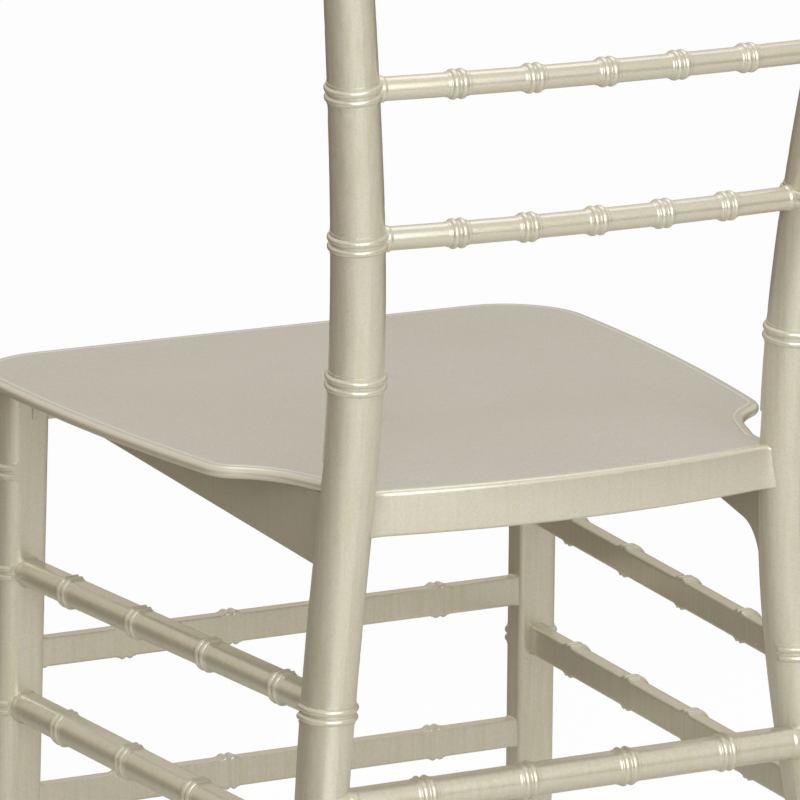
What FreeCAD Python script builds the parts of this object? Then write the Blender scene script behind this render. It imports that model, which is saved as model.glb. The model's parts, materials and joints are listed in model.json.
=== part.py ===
import FreeCAD, Part
import math
import os

import Sketcher
from FreeCAD import Placement, Rotation, Vector

# A chiavari chair of moulded resin members. Millimetres, +Z up, the sitter faces -Y, so that
# the sitter's left is +X. The chair is the same on both sides of the plane X = 0.

os.makedirs("parts", exist_ok=True)
doc = FreeCAD.newDocument("chair")
sheet = doc.addObject("Spreadsheet::Sheet", "sizes")

SIZES = [
    # Heights above the floor, on the centre lines of the members
    ("seat_height", 445, "top of the seat's rim"),
    ("front_low_height", 165.5, "lower front stretcher"),
    ("side_low_height", 229, "lower side stretchers"),
    ("front_high_height", 262, "upper front stretcher"),
    ("rear_height", 262, "rear stretcher"),
    ("side_high_height", 316.5, "upper side stretchers"),
    ("leg_ring_height", 381.5, "ring pair of the front legs that carries no stretcher"),
    ("waist_height", 513.5, "narrowest place of the two rear posts"),
    ("rung_low_height", 597, "lowest rung of the back"),
    ("rung_mid_height", 685.5, "second rung of the back"),
    ("rung_high_height", 774, "third rung of the back"),
    ("crest_height", 888, "crest rail"),
    ("post_top_height", 912, "tip of the rear posts"),
    # Rear posts: half spacing and depth of the centre line, and radius, at six heights
    ("post_foot_x", 191, "rear post at the floor, out from the middle"),
    ("post_rear_x", 161.5, "at the rear stretcher"),
    ("post_knee_x", 152.4, "at the knee"),
    ("post_waist_x", 144.8, "at the waist"),
    ("post_mid_x", 156.8, "at the second rung"),
    ("post_crest_x", 184, "at the crest rail"),
    ("post_foot_y", 18, "rear post at the floor, behind the waist"),
    ("post_rear_y", -5.5, "at the rear stretcher"),
    ("post_knee_y", -12, "at the knee"),
    ("post_waist_y", -0.5, "at the waist"),
    ("post_mid_y", 18.3, "at the second rung"),
    ("post_crest_y", 49, "at the crest rail"),
    ("knee_height", 350, "foremost place of the rear posts"),
    ("post_foot_radius", 12.6, "rear post at the floor"),
    ("post_rear_radius", 14.2, "at the rear stretcher"),
    ("post_knee_radius", 15.4, "at the knee"),
    ("post_waist_radius", 16.2, "at the waist"),
    ("post_mid_radius", 14.9, "at the second rung"),
    ("post_crest_radius", 13.9, "at the crest rail"),
    ("flat_top_height", 465, "where the flat front of the rear leg begins"),
    ("flat_top_reach", 4, "flat front before the centre line, at its top"),
    ("flat_rear_reach", 12, "the same at the rear stretcher"),
    ("flat_foot_reach", 12.4, "the same at the floor"),
    ("post_front_round", 2, "rounding of the edges of that flat front"),
    # Front legs
    ("leg_top_x", 166.6, "inner face of a front leg under the seat"),
    ("leg_foot_x", 173.4, "inner face at the floor"),
    ("leg_top_y", -370, "rear face of a front leg under the seat"),
    ("leg_foot_y", -383.8, "rear face at the floor"),
    ("leg_width", 30, "front leg across"),
    ("leg_depth", 26, "front leg, front to back"),
    ("leg_inner_round", 3.5, "rounding of its inner rear corner"),
    ("leg_outer_round", 12, "rounding of its outer rear corner"),
    ("leg_front_round", 12, "rounding of its two front corners"),
    # Stretchers and rungs
    ("stretcher_radius", 10.4, "front, rear and lower side stretchers"),
    ("side_high_radius", 9.4, "upper side stretchers"),
    ("stretcher_flat", 4.4, "flat inner face, off the stretcher's centre line"),
    ("front_inset", 6.8, "front stretchers' centre line before the legs' rear face"),
    ("side_front_inset", 12.5, "side stretchers' centre line outside the legs' inner face"),
    ("side_rear_inset", 5, "side stretchers' centre line inside that of the post"),
    ("rear_offset", 6, "rear stretcher's centre line behind that of the post"),
    ("front_node_pitch", 74.5, "between ring pairs of the front stretchers"),
    ("side_node_pitch", 83.7, "between ring pairs of the side stretchers"),
    ("side_node_start", 56, "first ring pair behind the legs' rear face"),
    ("rear_node_pitch", 67, "between ring pairs of the rear stretcher"),
    ("rung_radius", 6.95, "rungs of the back"),
    ("crest_radius", 8.2, "crest rail"),
    ("rung_bow", 9.5, "how far the rungs bow backwards between the posts"),
    ("spindle_radius", 5.6, "spindles between the third rung and the crest rail"),
    ("spindle_tenon_radius", 3.6, "their tenons"),
    ("spindle_tenon_depth", 5, "depth of their sockets"),
    # Ring pairs, which stand for the nodes of a cane
    ("ring_pitch", 5.5, "between the two rings of a pair"),
    ("ring_rise", 1.9, "height of a ring above its member"),
    ("ring_radius", 2.3, "cross section of a ring"),
    ("band_rise", 0.45, "height of the thin band under a ring pair"),
    ("band_reach", 6.4, "half width of that band"),
    ("ring_corner_keep", 5, "how far ring pairs stay off a leg's inner corner"),
    ("ring_sink", 0.2, "how far below a flat face a ring pair ends"),
    # Seat
    ("seat_thickness", 7.5, "edge of the seat panel"),
    ("seat_front", 423.5, "front edge of the seat before the waist"),
    ("seat_half_front", 209.5, "widest half width of the seat"),
    ("seat_half_rear", 187, "half width where the rear ears begin"),
    ("seat_ear_y", -112, "where the ears begin, before the waist"),
    ("seat_corner", 56, "rounding of the front corners"),
    ("ear_tip_x", 176, "inner end of the ear's rounding, out from the middle"),
    ("ear_tip_y", -95, "the same, before the waist"),
    ("notch_x", 153, "where the edge starts to turn back beside the post, out from the middle"),
    ("notch_y", -62, "the same, before the waist"),
    ("notch_turn_x", 148, "where that turn ends, out from the middle"),
    ("notch_turn_y", -48, "the same, before the waist"),
    ("notch_end_x", 140.5, "where the edge meets the post, out from the middle"),
    ("notch_end_y", -26, "the same, before the waist"),
    ("dish_y", -230, "middle of the dish"),
    ("seat_dish", 3.2, "depth of the dish in the seat"),
    ("dish_half_width", 182, "half width of the dish"),
    ("seat_edge_round", 3.6, "rounding of the panel's edge"),
    ("rail_rear_y", 11.3, "rear face of the rear rail, in the middle"),
    ("rail_rear_bow", 13.3, "how far the rear rail bows backwards"),
    ("rail_rear_half", 128, "half length over which that bow is taken"),
    ("rail_rear_height", 27.2, "height of the rear rail"),
    ("rail_rear_rise", 1.2, "how far it stands above the seat"),
    ("rail_rear_round", 2.6, "rounding of its long edges"),
    ("rail_rear_depth", 14, "thickness of the rear rail"),
    ("rail_lip", 7, "lip of the rear rail behind the panel"),
    ("rail_thickness", 4.5, "thickness of the side rails"),
    ("rail_front_drop", 7, "depth of the side rails below the panel, at the front"),
    ("rail_back_drop", 49, "the same at the rear post"),
    ("rail_inset", 17.5, "side rails' outer face inside the edge of the leg"),
    ("rail_rear_inset", 9, "side rails' centre line inside that of the post"),
    ("gusset_reach", 28, "hollow rounding at a side rail's rear end, before the rear leg"),
    ("gusset_drop", 26, "how far it runs down the rear leg"),
    ("front_gusset_radius", 16, "the same down the front leg"),
    ("front_rail_thickness", 15, "thickness of the front rail"),
    ("front_rail_height", 24, "height of the front rail"),
    ("front_rail_setback", 2.4, "front rail's inner face before the legs' rear face"),
    # Joints
    ("tenon_radius", 4, "tenons of the stretchers and rungs"),
    ("tenon_depth", 12, "how far a tenon enters a leg or post"),
    ("rail_tenon_height", 7.5, "tenons of the seat rails"),
    ("rear_tenon_depth", 8, "how far the rear rail's tenons enter the posts"),
    ("tenon_lap", 1.5, "rail above or below its tenon"),
    ("rail_tenon_width", 3.5, "the same across"),
    ("fit_clearance", 0.15, "between a tenon and its socket, all round"),
    # Feet and fasteners
    ("glide_height", 5, "foot glide under the leg"),
    ("glide_radius", 10.6, "foot glide"),
    ("glide_stem_radius", 4, "its stem"),
    ("glide_stem_length", 14, "its stem"),
    ("block_leg", 46, "corner block along each rail"),
    ("block_height", 13, "corner block"),
    ("block_lap", 4, "how far its corner is let into the leg before it is coped"),
    ("screw_radius", 2.1, "seat screws"),
    ("screw_head_radius", 4.2, "their heads"),
    ("screw_head_height", 2.6, "their heads"),
    ("screw_bite", 4, "how far they enter the seat panel"),
]
for line, (word, value, note) in enumerate(SIZES, 1):
    sheet.set(f"A{line}", note)
    sheet.set(f"B{line}", str(value))
    sheet.setAlias(f"B{line}", word)
doc.recompute()


def size(word):
    """A driving size of the sheet, as a plain number."""
    return float(sheet.get(word))


def bind(thing, **formulas):
    """Ties properties of an object to cells of the sheet; words in a formula are aliases."""
    for name, formula in formulas.items():
        thing.setExpression(name, formula)


nodes = {}


def keep(name, thing):
    """Gives a finished sub-part its name, which is also the name of its file."""
    thing.Label = name
    nodes[name] = thing
    return thing


def feature(name, shape):
    """A shape worked out from the sheet's sizes."""
    thing = doc.addObject("Part::Feature", name)
    thing.Shape = shape
    return thing


def fuse(name, things):
    """Several solids of one moulding as one."""
    thing = doc.addObject("Part::MultiFuse", name)
    thing.Shapes = things
    return thing


def cut(name, base, tools):
    """One solid less several others."""
    tool = tools[0]
    if len(tools) > 1:
        tool = doc.addObject("Part::MultiFuse", name + "_tools")
        tool.Shapes = tools
    thing = doc.addObject("Part::Cut", name)
    thing.Base = base
    thing.Tool = tool
    return thing


def group(name, things):
    """Separate solids side by side as one object."""
    thing = doc.addObject("Part::Compound", name)
    thing.Links = things
    return thing


# The rear posts

POST_STATIONS = [
    ("foot", 0), ("rear", size("rear_height")), ("knee", size("knee_height")),
    ("waist", size("waist_height")), ("mid", size("rung_mid_height")),
    ("crest", size("crest_height")),
]


def station_curve(values):
    """A smooth curve through one value per station; its parameter is the height."""
    heights = [height for _, height in POST_STATIONS]
    curve = Part.BSplineCurve()
    points = [Vector(a, b, height) for (a, b), height in zip(values, heights)]
    curve.interpolate(Points=points, Parameters=heights)
    return curve


post_line = station_curve([(size(f"post_{n}_x"), size(f"post_{n}_y")) for n, _ in POST_STATIONS])
post_thickness = station_curve([(size(f"post_{n}_radius"), 0) for n, _ in POST_STATIONS])


def post_point(height, side=1):
    """The centre of a rear post at a height."""
    top = size("crest_height")
    point = post_line.value(min(height, top))
    if height > top:
        point = point + post_line.tangent(top)[0] * ((height - top) / post_line.tangent(top)[0].z)
    return Vector(side * point.x, point.y, height)


def post_radius(height):
    return post_thickness.value(min(height, size("crest_height"))).x


def post_lean(height, side=1):
    """The direction of a rear post at a height."""
    lean = post_line.tangent(min(height, size("crest_height")))[0]
    return Vector(side * lean.x, lean.y, lean.z)


def flat_reach(height):
    """How far the flat front of the rear leg lies before the post's centre line."""
    low, mid, top = 0.0, size("rear_height"), size("flat_top_height")
    if height <= mid:
        share = (height - low) / (mid - low)
        return size("flat_foot_reach") + share * (size("flat_rear_reach") - size("flat_foot_reach"))
    share = (height - mid) / (top - mid)
    return size("flat_rear_reach") + share * (size("flat_top_reach") - size("flat_rear_reach"))


def round_section(height, side):
    """The round section of a post above the seat, as four quarter arcs."""
    centre, radius = post_point(height, side), post_radius(height)
    return arc_loop([centre + Vector(radius * math.cos(a), radius * math.sin(a), 0)
                     for a in [k * math.pi / 4 for k in range(8)]])


def arc_loop(points):
    """A closed wire of arcs through eight points of a circle."""
    arcs = [Part.Arc(points[k], points[k + 1], points[(k + 2) % 8]) for k in (0, 2, 4, 6)]
    return Part.Wire([arc.toShape() for arc in arcs])


def horseshoe_section(height, side, inset=0.0):
    """The leg's section below the seat: half round behind, straight sides, flat in front."""
    centre = post_point(height, side)
    radius, reach = post_radius(height) - inset, flat_reach(height) - inset
    turn = max(size("post_front_round") - inset, 0.5)
    rim = [centre + Vector(radius * math.cos(a), radius * math.sin(a), 0)
           for a in [k * math.pi / 4 for k in range(5)]]
    shrink = turn * (1 - math.sqrt(0.5))
    corners = []
    for sign in (-1, 1):
        tip = centre + Vector(sign * radius, -reach, 0)
        arc = [tip + Vector(0, turn, 0), tip + Vector(-sign * shrink, shrink, 0),
               tip + Vector(-sign * turn, 0, 0)]
        corners.append(arc if sign < 0 else arc[::-1])
    lines = [(rim[4], corners[0][0]), (corners[0][2], corners[1][0]), (corners[1][2], rim[0])]
    edges = [Part.Arc(*rim[0:3]), Part.Arc(*rim[2:5]), Part.LineSegment(*lines[0]),
             Part.Arc(*corners[0]), Part.LineSegment(*lines[1]), Part.Arc(*corners[1]),
             Part.LineSegment(*lines[2])]
    return Part.Wire([edge.toShape() for edge in edges])


def spaced(low, high, count):
    """Evenly spaced heights, both ends included."""
    return [low + (high - low) * k / (count - 1) for k in range(count)]


def ring_profile(radius):
    """Outline of a ring pair on its band, from the member's axis outwards, in the XY plane.

    The member runs along X; the outline is turned about X to make the raised node of a cane.
    """
    reach, band = size("band_reach"), radius + size("band_rise")
    ring, crown = size("ring_radius"), radius + size("ring_rise")
    middle = crown - ring
    half = math.sqrt(ring ** 2 - (band - middle) ** 2)
    edges, last = [], Vector(-reach, band, 0)
    edges.append(Part.LineSegment(Vector(-reach, 0, 0), last))
    for centre in (-size("ring_pitch") / 2, size("ring_pitch") / 2):
        start, top, end = (Vector(centre - half, band, 0), Vector(centre, crown, 0),
                           Vector(centre + half, band, 0))
        edges += [Part.LineSegment(last, start), Part.Arc(start, top, end)]
        last = end
    edges.append(Part.LineSegment(last, Vector(reach, band, 0)))
    edges.append(Part.LineSegment(Vector(reach, band, 0), Vector(reach, 0, 0)))
    edges.append(Part.LineSegment(Vector(reach, 0, 0), Vector(-reach, 0, 0)))
    return edges


def ring_pair(point, direction, radius):
    """Two rings on a thin band about a member."""
    face = Part.Face(Part.Wire([edge.toShape() for edge in ring_profile(radius)]))
    solid = face.revolve(Vector(), Vector(1, 0, 0), 360)
    solid.Placement = Placement(point, Rotation(Vector(1, 0, 0), direction))
    return solid


POST_RINGS = ["waist_height", "rung_low_height", "rung_mid_height", "rung_high_height",
              "crest_height"]
LOW_POST_RINGS = ["side_low_height", "side_high_height"]
LEG_RINGS = ["side_low_height", "side_high_height", "leg_ring_height"]


def hoop_pair(height, outline, drift):
    """Two hoops on a thin band round a member whose outline isn't a circle.

    outline(height, inset) gives the member's closed outline, drawn in by an inset.
    """
    reach = size("band_reach")
    base = outline(height - reach, -size("band_rise"))
    solid = Part.Face(base).extrude(drift(height + reach) - drift(height - reach))
    for step in (-0.5, 0.5):
        path = outline(height + step * size("ring_pitch"), size("ring_radius") - size("ring_rise"))
        start = path.Edges[-1].valueAt(path.Edges[-1].FirstParameter)
        along = path.Edges[-1].tangentAt(path.Edges[-1].FirstParameter)
        hoop = Part.Wire(Part.makeCircle(size("ring_radius"), start, along))
        solid = solid.fuse(path.makePipeShell([hoop], True, False))
    return solid


def trimmed(solid, corner, height, toward):
    """A hoop pair of the left side, cut back to what stands outside two flat faces.

    corner(height) is where the inner face and the face across it meet, and toward is +1 where
    the member lies behind that face and -1 where it lies before it. The cuts run a little
    below both faces, so that nothing thin is left on them.
    """
    point = corner(height) + Vector(size("ring_sink"), toward * size("ring_sink"), 0)
    lean = Rotation(Vector(0, 0, 1), corner(height + 10) - corner(height - 10))
    keep_off = size("ring_corner_keep")
    boxes = [(100, 400, -100, -200), (400, 200, -200, -200 if toward > 0 else 0),
             (2 * keep_off, 2 * keep_off, -keep_off, -keep_off)]
    for wide, deep, x, y in boxes:
        box = Part.makeBox(wide, deep, 60, Vector(x, y, -30))
        box.Placement = Placement(point, lean)
        solid = solid.cut(box)
    return solid


def post_corner(height):
    """Where the flat front and the inner side of the left rear leg would meet."""
    return post_point(height) + Vector(-post_radius(height), -flat_reach(height), 0)


def post_solid(side):
    """A whole rear post: round above the seat, horseshoe-shaped below, with its ring pairs."""
    break_height, top = size("flat_top_height"), size("post_top_height")
    foot = size("glide_height")
    tip = post_radius(top) * 0.62
    upper = Part.makeLoft([round_section(z, side) for z in spaced(break_height, top - tip, 7)], True)
    lower = Part.makeLoft([horseshoe_section(z, side) for z in spaced(foot, break_height, 7)], True)
    crown = Part.makeSphere(post_radius(top), Vector(), Vector(0, 0, 1), 0, 90, 360)
    squash = FreeCAD.Matrix()
    squash.scale(1, 1, tip / post_radius(top))
    crown = crown.transformGeometry(squash)
    crown.translate(post_point(top - tip, side))
    rings = []
    for word in POST_RINGS:
        height = size(word)
        rings.append(ring_pair(post_point(height, side), post_lean(height, side),
                               post_radius(height)))
    for word in LOW_POST_RINGS:
        height = size(word)
        hoops = hoop_pair(height, lambda z, inset: horseshoe_section(z, side, inset), post_point)
        rings.append(trimmed(hoops, post_corner, height, 1))
    return upper.fuse([lower, crown] + rings)


# The front legs

def leg_corner(height, side=1):
    """The inner rear corner of a front leg, before it is rounded, at a height."""
    top = size("seat_height") - size("seat_thickness")
    share = height / top
    x = size("leg_foot_x") + share * (size("leg_top_x") - size("leg_foot_x"))
    y = size("leg_foot_y") + share * (size("leg_top_y") - size("leg_foot_y"))
    return Vector(side * x, y, height)


def leg_section(height, side, inset=0.0):
    """A flat rear and inner face, with the outer and front corners well rounded."""
    corner, width, depth = leg_corner(height, side), size("leg_width"), size("leg_depth")
    rounds = [size(word) for word in ("leg_inner_round", "leg_outer_round", "leg_front_round",
                                      "leg_front_round")]
    places = [(inset, -inset), (width - inset, -inset), (width - inset, inset - depth),
              (inset, inset - depth)]
    edges, last, first = [], None, None
    for k, (x, y) in enumerate(places):
        here = Vector(x, y, 0)
        back = (Vector(*places[k - 1], 0) - here).normalize()
        onward = (Vector(*places[(k + 1) % 4], 0) - here).normalize()
        turn = max(rounds[k] - inset, 0.5)
        arc = [here + back * turn, here + (back + onward) * (turn * (1 - math.sqrt(0.5))),
               here + onward * turn]
        arc = [corner + Vector(side * p.x, p.y, 0) for p in arc]
        if last is not None:
            edges.append(Part.LineSegment(last, arc[0]).toShape())
        first = first or arc[0]
        edges.append(Part.Arc(*arc).toShape())
        last = arc[2]
    edges.append(Part.LineSegment(last, first).toShape())
    return Part.Wire(edges)


def leg_solid(side):
    low, high = size("glide_height"), size("seat_height") - size("seat_thickness")
    solid = Part.makeLoft([leg_section(low, side), leg_section(high, side)], True, True)
    rings = []
    for word in LEG_RINGS:
        hoops = hoop_pair(size(word), lambda z, inset: leg_section(z, side, inset), leg_corner)
        rings.append(trimmed(hoops, leg_corner, size(word), -1))
    return solid.fuse(rings)


def mirrored(name, thing):
    """The twin of a sub-part on the sitter's right."""
    twin = doc.addObject("Part::Mirroring", name)
    twin.Source = thing
    twin.Normal = Vector(1, 0, 0)
    return twin


def keep_pair(name, thing):
    """A sub-part of the sitter's left side and its twin of the right side."""
    keep(name + "_left", thing)
    keep(name + "_right", mirrored(name + "_right", thing))


posts = [feature("post_core", post_solid(1))]
legs = [feature("leg_core", leg_solid(1))]
posts.append(mirrored("post_core_right", posts[0]))
legs.append(mirrored("leg_core_right", legs[0]))
both_posts = group("both_posts", posts)
both_legs = group("both_legs", legs)
sockets = {"post": [], "leg": []}


# Members drawn as sketches and features of a body

def origin_part(body, role):
    """One of a body's own origin planes or axes."""
    return next(f for f in body.Origin.OriginFeatures if f.Role == role)


def sketch_on(body, role, name, offset=None):
    """An empty sketch on an origin plane of a body, moved by an offset where one is given."""
    drawing = body.newObject("Sketcher::SketchObject", name)
    drawing.AttachmentSupport = (origin_part(body, role), "")
    drawing.MapMode = "FlatFace"
    if offset is not None:
        drawing.AttachmentOffset = offset
    return drawing


def circle_sketch(body, role, name, formula, away=0.0):
    """A circle whose radius follows the sheet, with its centre on the sketch's x axis."""
    drawing = sketch_on(body, role, name)
    drawing.addGeometry(Part.Circle(Vector(away, 0, 0), Vector(0, 0, 1), 5), False)
    drawing.addConstraint(Sketcher.Constraint("Radius", 0, 5))
    drawing.renameConstraint(0, "radius")
    drawing.setExpression("Constraints.radius", formula)
    if away:
        drawing.addConstraint(Sketcher.Constraint("PointOnObject", 0, 3, -1))
        drawing.addConstraint(Sketcher.Constraint("DistanceX", -1, 1, 0, 3, away))
    else:
        drawing.addConstraint(Sketcher.Constraint("Coincident", 0, 3, -1, 1))
    return drawing


def outline_sketch(body, role, name, edges, offset=None):
    """A closed outline of lines and arcs, each joined to the next."""
    drawing = sketch_on(body, role, name, offset)
    for edge in edges:
        drawing.addGeometry(edge, False)
    return drawing


def corner_lines(points):
    """Lines through the corners of a closed outline."""
    return [Part.LineSegment(a, b) for a, b in zip(points, points[1:] + points[:1])]


def pad(body, drawing, name, formula, centred=False):
    """A pad of a sketch; its length is a formula of the sheet or a number."""
    solid = body.newObject("PartDesign::Pad", name)
    solid.Profile = drawing
    solid.Midplane = centred
    if isinstance(formula, str):
        solid.setExpression("Length", formula)
    else:
        solid.Length = formula
    return solid


def turned(body, drawing, name, axis, angle=360.0, centred=False):
    """A revolution of a sketch about one of its axes or about an origin axis."""
    solid = body.newObject("PartDesign::Revolution", name)
    solid.Profile = drawing
    solid.ReferenceAxis = axis
    solid.Angle = angle
    solid.Midplane = centred
    return solid


def ring_edges(radius, place):
    """The outline of a ring pair, moved to its place in a sketch."""
    edges = ring_profile(radius)
    for edge in edges:
        edge.transform(place.toMatrix())
    return edges


def rod(name, start, end, radius_formula):
    """A plain round rod from one point to another, its radius a formula of the sheet."""
    thing = doc.addObject("Part::Cylinder", name)
    bind(thing, Radius=radius_formula)
    thing.Height = (end - start).Length
    thing.Placement = Placement(start, Rotation(Vector(0, 0, 1), end - start))
    return thing


TENON = "sizes.tenon_radius"
SOCKET = "sizes.tenon_radius + sizes.fit_clearance"
play = size("fit_clearance")


# The straight stretchers

def exit_distance(point, direction, core):
    """How far along a line from a point inside a member the line leaves the member."""
    ray = Part.LineSegment(point, point + direction * 60).toShape()
    inside = ray.common(core.Shape)
    return max(((vertex.Point - point).dot(direction) for vertex in inside.Vertexes), default=0)


def stretcher(name, start, end, inward, radius_word, first_node, pitch_word, members, owners, tool):
    """A bar that is round outside and flat inside, with four ring pairs and a tenon each end.

    The body's X axis runs along the bar and its Y axis points inward. The bar is coped to the
    two members it runs between, and the sockets of its tenons are noted for them.
    """
    along = end - start
    length = along.Length
    body = doc.addObject("PartDesign::Body", name + "_bar")
    section = circle_sketch(body, "YZ_Plane", name + "_section", f"sizes.{radius_word}")
    pad(body, section, name + "_round", length)
    edges = ring_edges(size(radius_word), Placement(Vector(first_node, 0, 0), Rotation()))
    drawing = outline_sketch(body, "XY_Plane", name + "_ring", edges)
    ring = turned(body, drawing, name + "_node", (origin_part(body, "X_Axis"), [""]))
    row = body.newObject("PartDesign::LinearPattern", name + "_nodes")
    row.Originals = [ring]
    row.Direction = (origin_part(body, "X_Axis"), [""])
    row.setExpression("Length", f"3 * sizes.{pitch_word}")
    row.Occurrences = 4
    body.Tip = row
    wide = 2 * size(radius_word)
    flat = size("stretcher_flat")
    corners = [Vector(-wide, flat, 0), Vector(length + wide, flat, 0),
               Vector(length + wide, wide + flat, 0), Vector(-wide, wide + flat, 0)]
    trim = body.newObject("PartDesign::Pocket", name + "_flat")
    trim.Profile = outline_sketch(body, "XY_Plane", name + "_face", corner_lines(corners))
    trim.Length = 2 * wide
    trim.Midplane = True
    body.Placement = Placement(start, Rotation(along, inward, Vector(), "XYZ"))
    doc.recompute()
    direction = Vector(along).normalize()
    depth = size("tenon_depth")
    low = start + direction * (exit_distance(start, direction, members[0]) - depth)
    high = end - direction * (exit_distance(end, -direction, members[1]) - depth)
    coped = cut(name + "_coped", body, [tool])
    tenon = rod(name + "_tenon", low, high, TENON)
    hole = rod(name + "_socket", low - direction * play, high + direction * play, SOCKET)
    for owner in owners:
        sockets[owner].append(hole)
    return fuse(name, [coped, tenon])


inset = Vector(size("leg_width") / 2, -size("front_inset"), 0)
for level, word in (("lower", "front_low_height"), ("upper", "front_high_height")):
    start = leg_corner(size(word)) + inset
    end = Vector(-start.x, start.y, start.z)
    first = start.x - 1.5 * size("front_node_pitch")
    name = f"front_stretcher_{level}"
    keep(name, stretcher(name, start, end, Vector(0, 1, 0), "stretcher_radius", first,
                         "front_node_pitch", legs, ["leg"], both_legs))

start = post_point(size("rear_height")) + Vector(0, size("rear_offset"), 0)
end = Vector(-start.x, start.y, start.z)
first = start.x - 1.5 * size("rear_node_pitch")
keep("rear_stretcher", stretcher("rear_stretcher", start, end, Vector(0, -1, 0),
                                 "stretcher_radius", first, "rear_node_pitch", posts, ["post"],
                                 both_posts))

half_depth = size("leg_depth") / 2
left_members = group("left_members", [legs[0], posts[0]])
for level, word, radius_word in (("lower", "side_low_height", "stretcher_radius"),
                                 ("upper", "side_high_height", "side_high_radius")):
    start = leg_corner(size(word)) + Vector(size("side_front_inset"), -half_depth, 0)
    end = post_point(size(word)) - Vector(size("side_rear_inset"), 0, 0)
    name = f"side_stretcher_{level}"
    keep_pair(name, stretcher(name, start, end, Vector(-1, 0, 0), radius_word,
                              half_depth + size("side_node_start"), "side_node_pitch",
                              [legs[0], posts[0]], ["leg", "post"], left_members))


# The bowed rungs of the back and the crest rail

def bow_of(height):
    """Centre and radius of the arc of a rung at a height: it passes through both posts."""
    post = post_point(height)
    bow = size("rung_bow")
    radius = (post.x ** 2 + bow ** 2) / (2 * bow)
    return Vector(0, post.y + bow - radius, height), radius


def bow_point(height, x):
    """A point of a rung's centre line."""
    centre, radius = bow_of(height)
    return Vector(x, centre.y + math.sqrt(radius ** 2 - x ** 2), height)


def clear_half(height):
    """Half the clear width between the posts at a height."""
    return post_point(height).x - post_radius(height)


def rung(name, height_word, radius_word, holes=()):
    """A round bar on a shallow arc, with five ring pairs and a tenon at each end."""
    height, thick = size(height_word), size(radius_word)
    centre, radius = bow_of(height)
    half = math.degrees(math.asin(post_point(height).x / radius))
    step = 2 * math.degrees(math.asin(clear_half(height) / radius)) / 6
    body = doc.addObject("PartDesign::Body", name + "_bar")
    section = circle_sketch(body, "XZ_Plane", name + "_section", f"sizes.{radius_word}", radius)
    turned(body, section, name + "_bend", (section, ["V_Axis"]), 2 * half, True)
    upright = Placement(Vector(radius, 0, 0), Rotation(Vector(0, 0, 1), 90))
    first = Placement(Vector(), Rotation(Vector(0, 0, 1), -2 * step))
    drawing = outline_sketch(body, "XY_Plane", name + "_ring", ring_edges(thick, upright), first)
    line = Part.LineSegment(Vector(radius, -thick, 0), Vector(radius, thick, 0))
    drawing.addGeometry(line, True)
    ring = turned(body, drawing, name + "_node", (drawing, ["Axis0"]))
    doc.recompute()
    row = body.newObject("PartDesign::PolarPattern", name + "_nodes")
    row.Originals = [ring]
    row.Axis = (origin_part(body, "Z_Axis"), [""])
    row.Angle = 4 * step
    row.Occurrences = 5
    body.Tip = row
    body.Placement = Placement(centre, Rotation(Vector(0, 0, 1), 90))
    coped = cut(name + "_coped", body, [both_posts])
    rods = []
    for label, formula, grow in (("_tenon", TENON, 0.0), ("_socket", SOCKET, play)):
        reach = math.degrees(math.asin((clear_half(height) + size("tenon_depth") + grow) / radius))
        core = doc.addObject("Part::Torus", name + label)
        core.Radius1 = radius
        bind(core, Radius2=formula)
        core.Angle3 = 2 * reach
        core.Placement = Placement(centre, Rotation(Vector(0, 0, 1), 90 - reach))
        rods.append(core)
    sockets["post"].append(rods[1])
    whole = fuse(name + "_whole" if holes else name, [coped, rods[0]])
    if holes:
        whole = cut(name, whole, list(holes))
    keep(name, whole)
    return body


SPINDLE_COUNT = 6
spindles = []
for k in range(1, SPINDLE_COUNT + 1):
    share = 1 - 2 * k / (SPINDLE_COUNT + 1)
    low, high = [bow_point(size(word), share * clear_half(size(word)))
                 for word in ("rung_high_height", "crest_height")]
    along = Vector(high - low).normalize()
    start = low + along * (size("rung_radius") - size("spindle_tenon_depth"))
    stop = high - along * (size("crest_radius") - size("spindle_tenon_depth"))
    hole = rod(f"spindle_socket_{k}", start - along * play, stop + along * play,
               "sizes.spindle_tenon_radius + sizes.fit_clearance")
    spindles.append((low, high, start, stop, hole))
spindle_holes = [spindle[4] for spindle in spindles]

rung("back_rung_lower", "rung_low_height", "rung_radius")
rung("back_rung_middle", "rung_mid_height", "rung_radius")
ends = [rung("back_rung_upper", "rung_high_height", "rung_radius", spindle_holes),
        rung("crest_rail", "crest_height", "crest_radius", spindle_holes)]
both_ends = group("both_ends", ends)

for k, (low, high, start, stop, hole) in enumerate(spindles, 1):
    name = f"back_spindle_{k}"
    length = (high - low).Length
    body = doc.addObject("PartDesign::Body", name + "_bar")
    section = circle_sketch(body, "YZ_Plane", name + "_section", "sizes.spindle_radius")
    pad(body, section, name + "_round", length)
    edges = ring_edges(size("spindle_radius"), Placement(Vector(length / 2, 0, 0), Rotation()))
    drawing = outline_sketch(body, "XY_Plane", name + "_ring", edges)
    turned(body, drawing, name + "_node", (origin_part(body, "X_Axis"), [""]))
    body.Placement = Placement(low, Rotation(Vector(1, 0, 0), high - low))
    coped = cut(name + "_coped", body, [both_ends])
    tenon = rod(name + "_tenon", start, stop, "sizes.spindle_tenon_radius")
    keep(name, fuse(name, [coped, tenon]))


# The seat rails under the edge of the panel

panel_under = size("seat_height") - size("seat_thickness")


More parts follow.
